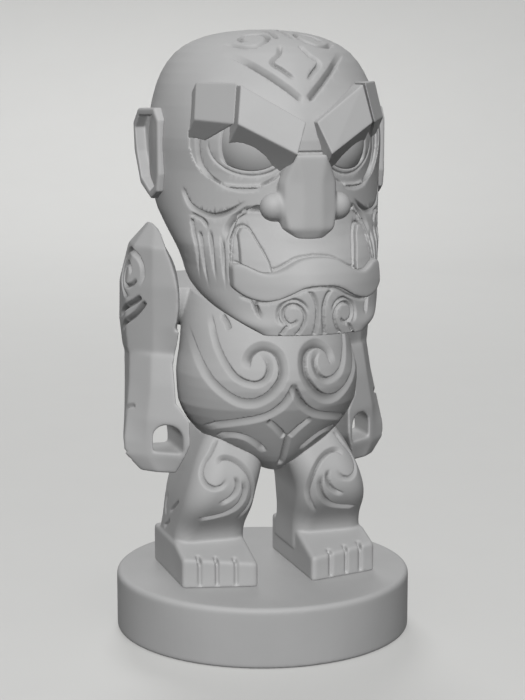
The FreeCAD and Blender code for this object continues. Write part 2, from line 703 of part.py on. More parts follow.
def ear(skull, side):
    """Ear: a slab with a raised rim around a bowl, and a small hole in the bowl."""
    slab = ear_outline_face(0.0).extrude(V(EAR_OUTER_X - EAR_INNER_X, 0, 0))
    slab.translate(V(EAR_INNER_X, 0, 0))
    slab = soft(slab, EAR_ROUND)
    bowl = ear_outline_face(EAR_RIM).extrude(V(EAR_BOWL_DEPTH + TOOL_REACH, 0, 0))
    bowl.translate(V(EAR_OUTER_X - EAR_BOWL_DEPTH, 0, 0))
    slab = slab.cut(bowl)
    hole = Part.makeCylinder(EAR_HOLE_R, TOOL_REACH,
                             V(EAR_OUTER_X - EAR_BOWL_DEPTH - EAR_HOLE_DEPTH, EAR_HOLE_YZ[0], EAR_HOLE_YZ[1]),
                             V(1, 0, 0))
    slab = slab.cut(hole)
    slab.rotate(V(EAR_OUTER_X, EAR_TURN_Y, 0), V(0, 0, 1), -EAR_TURN)
    return largest_solid(on_side(slab, side).cut(skull))


# ---------------------------------------------------------------- build and write

def build():
    body = torso()
    skull = head()
    left_leg = leg(torso_mass())
    left_arm = arm()
    lip = lower_lip(skull)
    left_inner = inner_brow(skull, 1)
    right_inner = inner_brow(skull, -1)
    return {
        "plinth": plinth(),
        "foot_screws": foot_screws(),
        "left_leg": left_leg,
        "right_leg": mirrored(left_leg),
        "hip_dowels": hip_dowels(),
        "torso": body,
        "neck_post": neck_post(),
        "neck_washer": neck_washer(),
        "left_arm": left_arm,
        "right_arm": mirrored(left_arm),
        "left_shoulder_pin": shoulder_pin(1),
        "right_shoulder_pin": shoulder_pin(-1),
        "head": skull,
        "left_ear": ear(skull, 1),
        "right_ear": ear(skull, -1),
        "left_inner_brow": left_inner,
        "right_inner_brow": right_inner,
        "left_outer_brow": outer_brow(skull, 1, left_inner),
        "right_outer_brow": outer_brow(skull, -1, right_inner),
        "nose": nose(skull, (left_inner, right_inner)),
        "left_eye": eye(1),
        "right_eye": eye(-1),
        "lower_lip": lip,
        "left_fang": fang(skull, lip, 1),
        "right_fang": fang(skull, lip, -1),
    }


os.makedirs("parts", exist_ok=True)
for name, shape in build().items():
    shape.exportStep("parts/" + name + ".step")
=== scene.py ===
"""Finishes a cast resin tiki figure: softened blocks, carved lines, materials, floor, light and camera."""

import math

import bmesh
import bpy
from bpy.props import FloatProperty, FloatVectorProperty, IntProperty, PointerProperty
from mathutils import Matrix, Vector
from mathutils.bvhtree import BVHTree


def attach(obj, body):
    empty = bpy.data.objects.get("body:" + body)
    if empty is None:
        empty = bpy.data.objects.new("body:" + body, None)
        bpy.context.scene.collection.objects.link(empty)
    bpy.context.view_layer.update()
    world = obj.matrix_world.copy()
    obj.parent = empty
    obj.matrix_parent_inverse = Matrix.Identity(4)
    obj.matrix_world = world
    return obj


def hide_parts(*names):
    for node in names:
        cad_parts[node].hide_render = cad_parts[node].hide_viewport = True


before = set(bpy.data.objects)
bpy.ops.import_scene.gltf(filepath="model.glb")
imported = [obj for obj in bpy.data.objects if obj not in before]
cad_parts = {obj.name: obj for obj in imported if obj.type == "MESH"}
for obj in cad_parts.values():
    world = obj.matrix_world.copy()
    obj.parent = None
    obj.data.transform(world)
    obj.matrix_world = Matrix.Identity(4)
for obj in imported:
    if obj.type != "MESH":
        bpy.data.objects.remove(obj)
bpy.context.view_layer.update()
MM = 0.001

bl_info = {
    "name": "Tiki figure finisher",
    "version": (1, 0, 0),
    "blender": (4, 5, 0),
    "location": "3D View > Sidebar > Tiki",
    "description": "Softens, carves and finishes the pieces of a cast tiki figure",
    "category": "Object",
}


# ---------------------------------------------------------------- settings

class TikiCastSettings(bpy.types.PropertyGroup):
    """How the resin pieces are cast."""
    grain: FloatProperty(
        name="Surface grain", description="Distance between the points of a finished surface",
        default=0.32 * MM, min=0.2 * MM, max=2 * MM, subtype="DISTANCE", unit="LENGTH")
    soften: IntProperty(
        name="Softening", description="Rounds of smoothing that soften a block's edges", default=8, min=0,
        max=40)
    most_faces: IntProperty(
        name="Most faces", description="Triangles that one piece may have", default=190000, min=1000)


class TikiCarveSettings(bpy.types.PropertyGroup):
    """How the lines are carved."""
    depth: FloatProperty(
        name="Line depth", description="Depth of a full line", default=1.5 * MM, min=0.0, max=3 * MM,
        subtype="DISTANCE", unit="LENGTH")
    wall: FloatProperty(
        name="Steep side", description="Width of a line's steep side", default=0.34 * MM, min=0.1 * MM,
        max=3 * MM, subtype="DISTANCE", unit="LENGTH")
    ramp: FloatProperty(
        name="Sloping side", description="Width of a line's sloping side", default=1.7 * MM, min=0.1 * MM,
        max=8 * MM, subtype="DISTANCE", unit="LENGTH")


class TikiLookSettings(bpy.types.PropertyGroup):
    """Colours and the view."""
    resin: FloatVectorProperty(
        name="Resin", description="Colour of the cast resin", default=(0.36, 0.36, 0.36), min=0, max=1,
        subtype="COLOR", size=3)
    floor: FloatVectorProperty(
        name="Floor", description="Colour of the floor and the backdrop", default=(0.56, 0.56, 0.55), min=0,
        max=1, subtype="COLOR", size=3)
    azimuth: FloatProperty(
        name="Azimuth", description="Turn of the camera about the figure", default=math.radians(-18.13),
        subtype="ANGLE", unit="ROTATION")
    elevation: FloatProperty(
        name="Elevation", description="Height of the camera as an angle", default=math.radians(9.65),
        subtype="ANGLE", unit="ROTATION")
    distance: FloatProperty(
        name="Distance", description="Distance from the camera to the figure", default=539.5 * MM, min=0.1,
        subtype="DISTANCE", unit="LENGTH")
    aim_height: FloatProperty(
        name="Aim height", description="Level that the camera looks at", default=85.4 * MM,
        subtype="DISTANCE", unit="LENGTH")
    lens: FloatProperty(
        name="Lens", description="Focal length of the camera", default=91.3, min=10, max=300,
        subtype="DISTANCE_CAMERA")


# ---------------------------------------------------------------- materials

class Shader:
    """A node material with one principled surface, and short calls for its nodes."""

    def __init__(self, name, colour, roughness, metallic=0.0):
        self.material = bpy.data.materials.new(name)
        self.material.use_nodes = True
        self.tree = self.material.node_tree
        self.surface = self.tree.nodes["Principled BSDF"]
        self.surface.inputs["Base Color"].default_value = (*colour, 1.0)
        self.surface.inputs["Roughness"].default_value = roughness
        self.surface.inputs["Metallic"].default_value = metallic
        self.place = self.tree.nodes.new("ShaderNodeTexCoord").outputs["Object"]

    def noise(self, scale, detail=4.0, stretch=(1.0, 1.0, 1.0)):
        mapping = self.tree.nodes.new("ShaderNodeMapping")
        mapping.inputs["Scale"].default_value = stretch
        self.tree.links.new(self.place, mapping.inputs["Vector"])
        noise = self.tree.nodes.new("ShaderNodeTexNoise")
        noise.inputs["Scale"].default_value = scale
        noise.inputs["Detail"].default_value = detail
        self.tree.links.new(mapping.outputs["Vector"], noise.inputs["Vector"])
        return noise.outputs["Fac"]

    def ramp(self, value, stops):
        ramp = self.tree.nodes.new("ShaderNodeValToRGB")
        ramp.color_ramp.elements[0].position = stops[0][0]
        ramp.color_ramp.elements[0].color = (*stops[0][1], 1.0)
        ramp.color_ramp.elements[1].position = stops[-1][0]
        ramp.color_ramp.elements[1].color = (*stops[-1][1], 1.0)
        for position, colour in stops[1:-1]:
            ramp.color_ramp.elements.new(position).color = (*colour, 1.0)
        self.tree.links.new(value, ramp.inputs["Fac"])
        return ramp.outputs["Color"]

    def number(self, value, low, high):
        """Spreads a value that runs from 0 to 1 between two numbers."""
        spread = self.tree.nodes.new("ShaderNodeMapRange")
        spread.inputs["To Min"].default_value = low
        spread.inputs["To Max"].default_value = high
        self.tree.links.new(value, spread.inputs["Value"])
        return spread.outputs["Result"]

    def attribute(self, name):
        node = self.tree.nodes.new("ShaderNodeAttribute")
        node.attribute_name = name
        return node.outputs["Fac"]

    def multiply(self, first, second, factor=1.0):
        mix = self.tree.nodes.new("ShaderNodeMix")
        mix.data_type = "RGBA"
        mix.blend_type = "MULTIPLY"
        mix.inputs["Factor"].default_value = factor
        self.tree.links.new(first, mix.inputs["A"])
        self.tree.links.new(second, mix.inputs["B"])
        return mix.outputs["Result"]

    def colour(self, value):
        self.tree.links.new(value, self.surface.inputs["Base Color"])

    def roughness(self, value):
        self.tree.links.new(value, self.surface.inputs["Roughness"])

    def bump(self, heights, distance):
        """Relief from several heights laid on each other, each with its own strength."""
        normal = None
        for height, strength in heights:
            bump = self.tree.nodes.new("ShaderNodeBump")
            bump.inputs["Strength"].default_value = strength
            bump.inputs["Distance"].default_value = distance
            self.tree.links.new(height, bump.inputs["Height"])
            if normal:
                self.tree.links.new(normal, bump.inputs["Normal"])
            normal = bump.outputs["Normal"]
        self.tree.links.new(normal, self.surface.inputs["Normal"])


def shade(colour, amount):
    return tuple(channel * amount for channel in colour)


def cast_resin(colour):
    """Matt grey resin: a fine tooth, faint cloudy tone and painted shade that darkens the carved lines."""
    resin = Shader("cast grey resin", colour, 0.62)
    cloud = resin.noise(45.0, 3.0)
    tooth = resin.noise(2600.0, 3.0)
    tone = resin.ramp(cloud, ((0.3, shade(colour, 0.965)), (0.7, shade(colour, 1.03))))
    # Painted shade: the colour darkens with the depth of a carved line, down to half where a line is carved
    # to its full depth.
    painted_groove_shade = resin.ramp(resin.attribute("carved"), ((0.0, (1.0, 1.0, 1.0)), (0.45, (0.9, 0.9, 0.9)),
                                                      (1.0, (0.5, 0.5, 0.5))))
    resin.colour(resin.multiply(tone, painted_groove_shade))
    resin.roughness(resin.number(tooth, 0.56, 0.7))
    resin.bump(((tooth, 0.08), (resin.noise(420.0, 2.0), 0.05)), 0.1 * MM)
    resin.surface.inputs["Specular IOR Level"].default_value = 0.35
    return resin.material


def turned_steel(name, colour, lines):
    """Steel with fine turning marks."""
    steel = Shader(name, colour, 0.3, 1.0)
    marks = steel.noise(900.0, 3.0, lines)
    steel.colour(steel.ramp(marks, ((0.35, shade(colour, 0.86)), (0.65, colour))))
    steel.roughness(steel.number(marks, 0.24, 0.4))
    steel.bump(((marks, 0.12),), 0.05 * MM)
    return steel.material


def beech():
    """Pale wood with its grain along the dowel."""
    wood = Shader("beech dowel", (0.7, 0.52, 0.33), 0.6)
    grain = wood.noise(700.0, 5.0, (1.0, 1.0, 0.06))
    rings = ((0.35, (0.56, 0.38, 0.21)), (0.55, (0.7, 0.52, 0.33)), (0.7, (0.78, 0.62, 0.42)))
    wood.colour(wood.ramp(grain, rings))
    wood.roughness(wood.number(grain, 0.5, 0.75))
    wood.bump(((grain, 0.25),), 0.08 * MM)
    return wood.material


def white_nylon():
    """Off-white moulded nylon."""
    nylon = Shader("white nylon", (0.86, 0.85, 0.82), 0.45)
    mottle = nylon.noise(600.0, 3.0)
    nylon.colour(nylon.ramp(mottle, ((0.3, (0.82, 0.81, 0.77)), (0.7, (0.88, 0.87, 0.84)))))
    nylon.roughness(nylon.number(mottle, 0.38, 0.52))
    nylon.bump(((mottle, 0.06),), 0.05 * MM)
    return nylon.material


def plain_paint(name, colour, roughness):
    paint = Shader(name, colour, roughness)
    speckle = paint.noise(30.0, 3.0)
    paint.colour(paint.ramp(speckle, ((0.3, shade(colour, 0.99)), (0.7, colour))))
    return paint.material


# ---------------------------------------------------------------- softened copies of the blocks

MERGE_DISTANCE = 0.002 * MM

def finished_mesh(piece, name):
    """What a piece's modifiers make of it, as a plain mesh."""
    evaluated = piece.evaluated_get(bpy.context.evaluated_depsgraph_get())
    mesh = bpy.data.meshes.new_from_object(evaluated)
    mesh.name = name
    return mesh


def settle(piece):
    """Turns a piece's modifiers into its mesh and removes them."""
    mesh = finished_mesh(piece, piece.name)
    piece.modifiers.clear()
    piece.data = mesh


def copied_block(node, name):
    """Merged copy of a fixed block, closed and ready to be worked."""
    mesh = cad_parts[node].data.copy()
    mesh.materials.clear()
    work = bmesh.new()
    work.from_mesh(mesh)
    bmesh.ops.remove_doubles(work, verts=work.verts, dist=MERGE_DISTANCE)
    work.to_mesh(mesh)
    work.free()
    piece = bpy.data.objects.new(name, mesh)
    bpy.context.scene.collection.objects.link(piece)
    return piece


def softened(node, name, grain, soften):
    """Copy of a block with an even surface and softened edges."""
    piece = copied_block(node, name)
    remesh = piece.modifiers.new("even surface", "REMESH")
    remesh.mode = "VOXEL"
    remesh.voxel_size = grain
    smooth = piece.modifiers.new("soft edges", "SMOOTH")
    smooth.factor = 0.5
    smooth.iterations = soften
    settle(piece)
    piece.data.shade_smooth()
    return piece


def thinned(piece, most_faces):
    """Fewer triangles where a piece is flat, so that it keeps to its limit."""
    count = sum(len(polygon.vertices) - 2 for polygon in piece.data.polygons)
    if count > most_faces:
        thin = piece.modifiers.new("fewer faces", "DECIMATE")
        thin.ratio = most_faces / count
        settle(piece)


# ---------------------------------------------------------------- carving

STEP = 0.25 * MM
RAY_START = 400 * MM


def smooth_run(points):
    """Points of a smooth curve through a few chosen ones, evenly spaced."""
    chosen = [Vector(p) for p in points]
    ends = [chosen[0] * 2 - chosen[1]] + chosen + [chosen[-1] * 2 - chosen[-2]]
    run = []
    for before, start, end, after in zip(ends, ends[1:], ends[2:], ends[3:]):
        count = max(2, round((end - start).length / STEP))
        for step in range(count):
            t = step / count
            run.append(0.5 * (2 * start + (end - before) * t
                              + (2 * before - 5 * start + 4 * end - after) * t ** 2
                              + (3 * start - before - 3 * end + after) * t ** 3))
    run.append(chosen[-1])
    return run


def laid_on(surface, run, toward):
    """The run carried along a direction onto a surface; points that miss it are left out."""
    laid = []
    for point in run:
        hit = surface.ray_cast(point - toward * RAY_START, toward)[0]
        if hit:
            laid.append(hit)
    return laid


FRONT = Vector((0.0, 1.0, 0.0))
TOP = Vector((0.0, 0.0, -1.0))
LEFT = Vector((-1.0, 0.0, 0.0))
BACK = Vector((0.0, -1.0, 0.0))


def spread(toward, pair):
    """Point in space for a pair of sizes (mm) seen along a direction."""
    a, b = pair[0] * MM, pair[1] * MM
    if toward in (FRONT, BACK):
        return Vector((a, 0.0, b))
    if toward == TOP:
        return Vector((a, b, 0.0))
    return Vector((0.0, a, b))


class Stroke:
    """One carved line: its points as seen along a direction, and its own share of depth and widths."""

    def __init__(self, toward, points, depth=1.0, wall=1.0, ramp=1.0, slope_left=True, ends=(0.2, 0.2),
                 both=True):
        self.toward = toward
        self.points = points
        self.depth = depth
        self.wall = wall
        self.ramp = ramp
        self.slope_left = slope_left
        self.ends = ends
        self.both = both

    def taper(self, share):
        """Share of the full depth along the line, less towards its ends."""
        start, end = self.ends
        rise = min(1.0, share / start) if start else 1.0
        fall = min(1.0, (1.0 - share) / end) if end else 1.0
        full = min(rise, fall)
        return full * full * (3.0 - 2.0 * full)


def stroke_lines(surface, strokes, sides):
    """A mesh of fine lines on a surface, with each point's own depth, widths, heading and line number."""
    rows = []
    edges = []
    number = 0
    for stroke in strokes:
        for side in (sides if stroke.both else (1,)):
            run = smooth_run([spread(stroke.toward, pair) for pair in stroke.points])
            toward = stroke.toward.copy()
            if side < 0:
                run = [Vector((-p.x, p.y, p.z)) for p in run]
                toward.x = -toward.x
            laid = laid_on(surface, run, toward)
            first = len(rows)
            for index, point in enumerate(laid):
                ahead = laid[min(index + 1, len(laid) - 1)] - laid[max(index - 1, 0)]
                turn = side if stroke.slope_left else -side
                share = index / max(1, len(laid) - 1)
                rows.append((point, ahead.normalized() * turn, stroke.depth * stroke.taper(share),
                             stroke.wall, stroke.ramp, number))
                if index:
                    edges.append((first + index - 1, first + index))
            number += 1
    mesh = bpy.data.meshes.new("carved lines")
    mesh.from_pydata([row[0] for row in rows], edges, [])
    heading = mesh.attributes.new("heading", "FLOAT_VECTOR", "POINT")
    heading.data.foreach_set("vector", [c for row in rows for c in row[1]])
    for place, name in ((2, "depth"), (3, "wall"), (4, "ramp")):
        values = mesh.attributes.new(name, "FLOAT", "POINT")
        values.data.foreach_set("value", [row[place] for row in rows])
    lines = mesh.attributes.new("line", "INT", "POINT")
    lines.data.foreach_set("value", [row[5] for row in rows])
    piece = bpy.data.objects.new("carved lines", mesh)
    bpy.context.scene.collection.objects.link(piece)
    return piece, number


class Tree:
    """A geometry node tree with short calls for its nodes."""

    def __init__(self, name, sockets):
        self.group = bpy.data.node_groups.new(name, "GeometryNodeTree")
        self.group.interface.new_socket("Geometry", in_out="OUTPUT", socket_type="NodeSocketGeometry")
        self.group.interface.new_socket("Geometry", in_out="INPUT", socket_type="NodeSocketGeometry")
        for socket_name, kind in sockets:
            self.group.interface.new_socket(socket_name, in_out="INPUT", socket_type=kind)
        self.start = self.group.nodes.new("NodeGroupInput")
        self.end = self.group.nodes.new("NodeGroupOutput")

    def node(self, kind, settings=None, **inputs):
        node = self.group.nodes.new(kind)
        for key, value in (settings or {}).items():
            setattr(node, key, value)
        for key, value in inputs.items():
            socket = self.socket(node, key)
            if isinstance(value, bpy.types.NodeSocket):
                self.group.links.new(value, socket)
            else:
                socket.default_value = value
        return node

    def socket(self, node, key):
        """An input by its place (s0, s1 ...) or by its name with underscores."""
        if key[0] == "s" and key[1:].isdigit():
            return node.inputs[int(key[1:])]
        wanted = key.replace("_", " ")
        return next(s for s in node.inputs if s.name.lower() == wanted and s.enabled)

    def out(self, node, name=None):
        if name:
            return next(s for s in node.outputs if s.name == name and s.enabled)
        return next(s for s in node.outputs if s.enabled)

    def maths(self, operation, *values):
        inputs = {f"s{index}": value for index, value in enumerate(values)}
        return self.out(self.node("ShaderNodeMath", {"operation": operation}, **inputs))

    def vector(self, operation, *values, result=None):
        inputs = {f"s{index}": value for index, value in enumerate(values)}
        return self.out(self.node("ShaderNodeVectorMath", {"operation": operation}, **inputs), result)

    def named(self, name, kind="FLOAT"):
        node = self.node("GeometryNodeInputNamedAttribute", {"data_type": kind}, name=name)
        return self.out(node, "Attribute")


def carving_tree():
    """Presses one line of a lines object into a surface, steep on one side and sloping on the other."""
    tree = Tree("carve one line", (
        ("Lines", "NodeSocketObject"), ("Line", "NodeSocketInt"), ("Depth", "NodeSocketFloat"),
        ("Wall", "NodeSocketFloat"), ("Ramp", "NodeSocketFloat"), ("Material", "NodeSocketMaterial")))
    given = tree.start.outputs
    lines = tree.out(tree.node("GeometryNodeObjectInfo", object=given["Lines"]), "Geometry")
    other = tree.out(tree.node("FunctionNodeCompare", {"data_type": "INT", "operation": "NOT_EQUAL"},
                               s2=tree.named("line", "INT"), s3=given["Line"]))
    one = tree.out(tree.node("GeometryNodeDeleteGeometry", {"domain": "POINT"}, geometry=lines,
                             selection=other))
    nearest = tree.out(tree.node("GeometryNodeSampleNearest", {"domain": "POINT"}, geometry=one))

    def at_nearest(value, kind):
        return tree.out(tree.node("GeometryNodeSampleIndex", {"data_type": kind, "domain": "POINT"},
                                  geometry=one, value=value, index=nearest))

    here = tree.out(tree.node("GeometryNodeInputPosition"))
    normal = tree.out(tree.node("GeometryNodeInputNormal"))
    away = tree.vector("SUBTRACT", here, at_nearest(here, "FLOAT_VECTOR"))
    heading = at_nearest(tree.named("heading", "FLOAT_VECTOR"), "FLOAT_VECTOR")
    aside = tree.vector("CROSS_PRODUCT", normal, heading)
    side = tree.vector("DOT_PRODUCT", away, aside, result="Value")
    reach = tree.vector("LENGTH", away, result="Value")
    on_slope = tree.maths("GREATER_THAN", side, 0.0)
    wall = tree.maths("MULTIPLY", at_nearest(tree.named("wall"), "FLOAT"), given["Wall"])
    ramp = tree.maths("MULTIPLY", at_nearest(tree.named("ramp"), "FLOAT"), given["Ramp"])
    width = tree.out(tree.node("ShaderNodeMix", {"data_type": "FLOAT"}, s0=on_slope, s2=wall, s3=ramp))
    share = tree.maths("DIVIDE", reach, width)
    slope = tree.out(tree.node("ShaderNodeClamp", value=tree.maths("SUBTRACT", 1.0, share)))
    steep = tree.out(tree.node("ShaderNodeMapRange", {"interpolation_type": "SMOOTHSTEP"}, value=slope))
    profile = tree.out(tree.node("ShaderNodeMix", {"data_type": "FLOAT"}, s0=on_slope, s2=steep, s3=slope))
    press = tree.maths("MULTIPLY", profile, at_nearest(tree.named("depth"), "FLOAT"))
    move = tree.maths("MULTIPLY", tree.maths("MULTIPLY", press, given["Depth"]), -1.0)
    offset = tree.node("ShaderNodeVectorMath", {"operation": "SCALE"}, s0=normal)
    tree.group.links.new(move, offset.inputs["Scale"])
    # The depth kept here as "carved" also sets the painted shade in the resin's colour.
    kept = tree.node("GeometryNodeStoreNamedAttribute", {"data_type": "FLOAT", "domain": "POINT"},
                     geometry=given["Geometry"], name="carved",
                     value=tree.maths("MAXIMUM", tree.named("carved"), press))
    moved = tree.node("GeometryNodeSetPosition", geometry=tree.out(kept), offset=tree.out(offset))
    whole = tree.node("GeometryNodeRealizeInstances", geometry=tree.out(moved))
    dressed = tree.node("GeometryNodeSetMaterial", geometry=tree.out(whole), material=given["Material"])
    tree.group.links.new(tree.out(dressed), tree.end.inputs[0])
    return tree.group


def set_input(modifier, name, value):
    """Sets a modifier's input by the identifier of its socket."""
    for item in modifier.node_group.interface.items_tree:
        if item.item_type == "SOCKET" and item.in_out == "INPUT" and item.name == name:
            modifier[item.identifier] = value


def carve(piece, strokes, material, sides):
    """Carves every stroke into a piece, one after the other, on the left (1) or the right (-1) or both."""
    sizes = bpy.context.scene.tiki_carve
    surface = BVHTree.FromObject(piece, bpy.context.evaluated_depsgraph_get())
    lines, count = stroke_lines(surface, strokes, sides)
    group = bpy.data.node_groups.get("carve one line") or carving_tree()
    for number in range(count):
        modifier = piece.modifiers.new("carve", "NODES")
        modifier.node_group = group
        for name, value in (("Lines", lines), ("Line", number), ("Depth", sizes.depth), ("Wall", sizes.wall),
                            ("Ramp", sizes.ramp), ("Material", material)):
            set_input(modifier, name, value)
    settle(piece)
    bpy.data.objects.remove(lines)


def rolled_up(centre, start, end, turn_start, turn_end, steps=9):
    """Points of a spiral from one radius and angle (degrees) to another."""
    points = []
    for step in range(steps + 1):
        share = step / steps
        radius = start + (end - start) * share
        turn = math.radians(turn_start + (turn_end - turn_start) * share)
        points.append((centre[0] + radius * math.cos(turn), centre[1] + radius * math.sin(turn)))
    return points


def oval(centre, across, up, turn_start, turn_end, steps=14):
    """Points along an oval between two angles (degrees)."""
    points = []
    for step in range(steps + 1):
        turn = math.radians(turn_start + (turn_end - turn_start) * step / steps)
        points.append((centre[0] + across * math.cos(turn), centre[1] + up * math.sin(turn)))
    return points


# ---------------------------------------------------------------- the carved lines (mm)
# Each line is written for the left half of the figure, and the right half is its mirror image.

def chest_lines():
    return [
        Stroke(FRONT, [(24.6, 96.0), (23.9, 88.5), (22.2, 82.6), (19.3, 78.7), (15.0, 75.8), (10.8, 75.8),
                       (6.9, 78.6), (4.2, 83.3), (4.8, 88.2), (8.2, 90.0), (11.3, 88.2), (12.6, 84.4)],
               ramp=1.6, slope_left=True, ends=(0.3, 0.06), depth=1.3),
        Stroke(FRONT, [(19.6, 99.5), (19.4, 92.0), (18.1, 87.0), (15.6, 82.7), (11.6, 81.0), (8.8, 82.2),
                       (7.5, 85.3), (8.4, 87.9), (10.2, 88.8)],
               ramp=1.1, slope_left=True, ends=(0.15, 0.2)),
        Stroke(FRONT, [(16.9, 99.6), (15.9, 97.2), (15.7, 95.4)], ramp=0.9, slope_left=True, ends=(0.2, 0.1)),
    ]


def belly_lines():
    return [
        Stroke(FRONT, [(22.6, 65.8), (19.5, 67.7), (15.7, 68.9), (11.5, 69.9), (7.5, 71.3), (4.1, 73.7),
                       (1.9, 76.8), (0.3, 80.6)], ramp=1.3, slope_left=True, ends=(0.15, 0.12), depth=1.2),
        Stroke(FRONT, [(6.6, 69.4), (4.1, 67.4), (1.8, 65.2), (0.3, 63.4)], ramp=1.0, slope_left=True,
               ends=(0.2, 0.05)),
        Stroke(FRONT, [(0.0, 64.0), (0.0, 60.0), (0.0, 57.0), (0.0, 53.0)], ramp=0.8, wall=2.2,
               ends=(0.1, 0.1), both=False),
        Stroke(FRONT, [(19.2, 62.8), (17.2, 64.2), (14.1, 64.4), (10.6, 63.2), (7.2, 60.8), (4.9, 58.3)],
               ramp=1.3, slope_left=True, ends=(0.15, 0.15), depth=1.2),
    ]


def knee_lines():
    return [
        Stroke(FRONT, [(18.1, 61.8), (20.6, 57.9), (22.8, 55.1), (23.9, 52.4), (23.4, 50.2), (21.6, 48.9),
                       (19.5, 49.0), (18.1, 50.2), (17.7, 51.6)], ramp=0.8,
               slope_left=True, ends=(0.1, 0.25)),
        Stroke(FRONT, [(20.0, 54.8), (18.0, 56.3), (15.3, 55.9), (12.7, 54.1), (10.6, 51.2), (9.3, 47.5),
                       (9.1, 43.9), (10.4, 40.6), (12.8, 36.9)], ramp=0.9,
               slope_left=False, ends=(0.12, 0.2)),
        Stroke(FRONT, [(14.9, 51.6), (14.5, 48.8), (15.4, 46.4), (17.4, 44.6), (19.8, 43.5)], ramp=0.8,
               slope_left=False, ends=(0.2, 0.25)),
        Stroke(FRONT, [(12.9, 50.4), (12.3, 46.9), (13.2, 43.7), (15.5, 41.0), (19.0, 39.4), (25.0, 38.4)],
               ramp=1.0, slope_left=False, ends=(0.2, 0.12)),
    ]


def shin_lines():
    return [
        Stroke(LEFT, [(4.6, 41.6), (6.0, 38.0), (4.9, 34.6)], ramp=0.8, ends=(0.3, 0.3), depth=0.55),
        Stroke(LEFT, [(-7.2, 42.8), (-2.8, 39.8), (2.2, 36.6)], ramp=0.8, slope_left=False, ends=(0.3, 0.3),
               depth=0.55),
        Stroke(LEFT, [(8.0, 44.0), (10.0, 38.0), (9.6, 33.0)], ramp=0.9, ends=(0.3, 0.4), depth=0.55),
        Stroke(LEFT, [(0.7, 35.2), (4.2, 32.6), (7.4, 31.2)], ramp=0.9, slope_left=False, ends=(0.3, 0.3),
               depth=0.55),
    ]


def chin_lines():
    return [
        Stroke(FRONT, [(6.9, 97.4), (5.5, 99.6), (4.6, 102.2), (4.9, 104.5), (6.4, 106.0), (8.2, 106.2),
                       (9.6, 105.1), (9.9, 103.4), (9.3, 101.9), (8.1, 101.1), (7.0, 101.6), (6.4, 102.6)],
               ramp=0.5, slope_left=True, ends=(0.02, 0.1), depth=0.8),
        Stroke(FRONT, [(11.2, 97.6), (9.5, 100.1), (8.1, 101.1)], ramp=0.6, slope_left=True,
               ends=(0.05, 0.05), depth=0.8),
        Stroke(FRONT, [(9.4, 100.6), (10.9, 101.8), (11.3, 103.5), (10.8, 105.4), (9.3, 106.9), (7.6, 107.5),
                       (5.8, 107.1), (4.3, 105.7), (3.5, 103.6)], ramp=0.5, slope_left=False,
               ends=(0.25, 0.25), depth=0.8),
        Stroke(FRONT, [(3.9, 110.6), (2.2, 108.6), (1.3, 106.1), (1.1, 103.8), (1.3, 101.0), (1.9, 97.2)],
               ramp=0.6, slope_left=False, ends=(0.1, 0.02), depth=0.8),
        Stroke(FRONT, [(17.4, 107.6), (16.3, 103.8), (15.2, 102.0)], ramp=0.9, slope_left=False,
               ends=(0.02, 0.6), depth=1.4),
    ]


def face_lines():
    return [
        Stroke(FRONT, [(26.2, 152.8), (26.2, 147.0), (25.0, 142.6), (22.2, 139.2), (18.0, 137.6),
                       (14.2, 137.8), (10.4, 139.2), (7.4, 141.4)], ramp=0.8, slope_left=True,
               ends=(0.03, 0.15), depth=0.9),
        Stroke(FRONT, [(29.8, 137.2), (28.4, 132.6), (25.9, 130.4), (23.0, 130.0), (19.6, 131.5),
                       (15.6, 134.2)], ramp=0.8, slope_left=True, ends=(0.15, 0.35), depth=1.3),
        Stroke(FRONT, [(11.4, 131.2), (14.4, 131.2), (17.6, 129.8), (20.2, 126.8), (21.9, 122.0)],
               ramp=1.0, slope_left=True, ends=(0.05, 0.35), depth=1.2, wall=1.6),
        Stroke(FRONT, [(28.4, 128.2), (28.1, 123.0), (27.4, 116.9), (26.6, 110.2)], ramp=0.7, wall=1.2,
               slope_left=False, ends=(0.05, 0.8)),
        Stroke(FRONT, [(27.0, 125.0), (26.8, 119.2), (26.2, 114.2), (25.3, 108.6)], ramp=0.7, wall=1.2,
               slope_left=False, ends=(0.1, 0.8)),
        Stroke(FRONT, [(24.8, 125.8), (25.0, 120.6), (24.7, 115.6), (24.0, 110.4)], ramp=0.7, wall=1.2,
               slope_left=False, ends=(0.2, 0.8)),
        Stroke(FRONT, [(22.4, 125.0), (22.8, 119.9), (22.8, 114.5), (22.3, 108.8)], ramp=0.7, wall=1.2,
               slope_left=False, ends=(0.3, 0.8)),
        Stroke(FRONT, [(28.6, 129.2), (26.6, 128.4), (25.0, 125.8)], ramp=0.7, slope_left=False,
               ends=(0.2, 0.3)),
        Stroke(FRONT, oval((14.4, 149.2), 9.9, 8.4, 10, -160), ramp=0.3, wall=0.9,
               ends=(0.15, 0.15), depth=0.5),
        Stroke(FRONT, [(12.0, 111.0), (12.5, 117.8), (15.0, 125.2), (16.2, 126.9), (17.7, 127.0),
                       (19.0, 125.2), (20.2, 121.0), (20.9, 115.6)], ramp=0.25, wall=1.3,
               ends=(0.02, 0.02), depth=0.75),
        Stroke(FRONT, [(0.0, 119.7), (5.6, 118.9), (10.8, 116.1), (15.1, 115.5), (20.6, 117.4)], ramp=0.3,
               wall=1.3, ends=(0.0, 0.05), depth=0.5),
        Stroke(FRONT, [(0.0, 111.1), (4.9, 110.5), (8.9, 108.5), (14.6, 106.7), (20.2, 108.2)], ramp=0.4,
               wall=1.3, slope_left=False, ends=(0.0, 0.1), depth=0.6),
        Stroke(FRONT, [(-4.6, 147.2), (0.0, 147.3), (4.6, 147.2)], ramp=0.35, ends=(0.02, 0.02), both=False,
               depth=0.8),
    ]


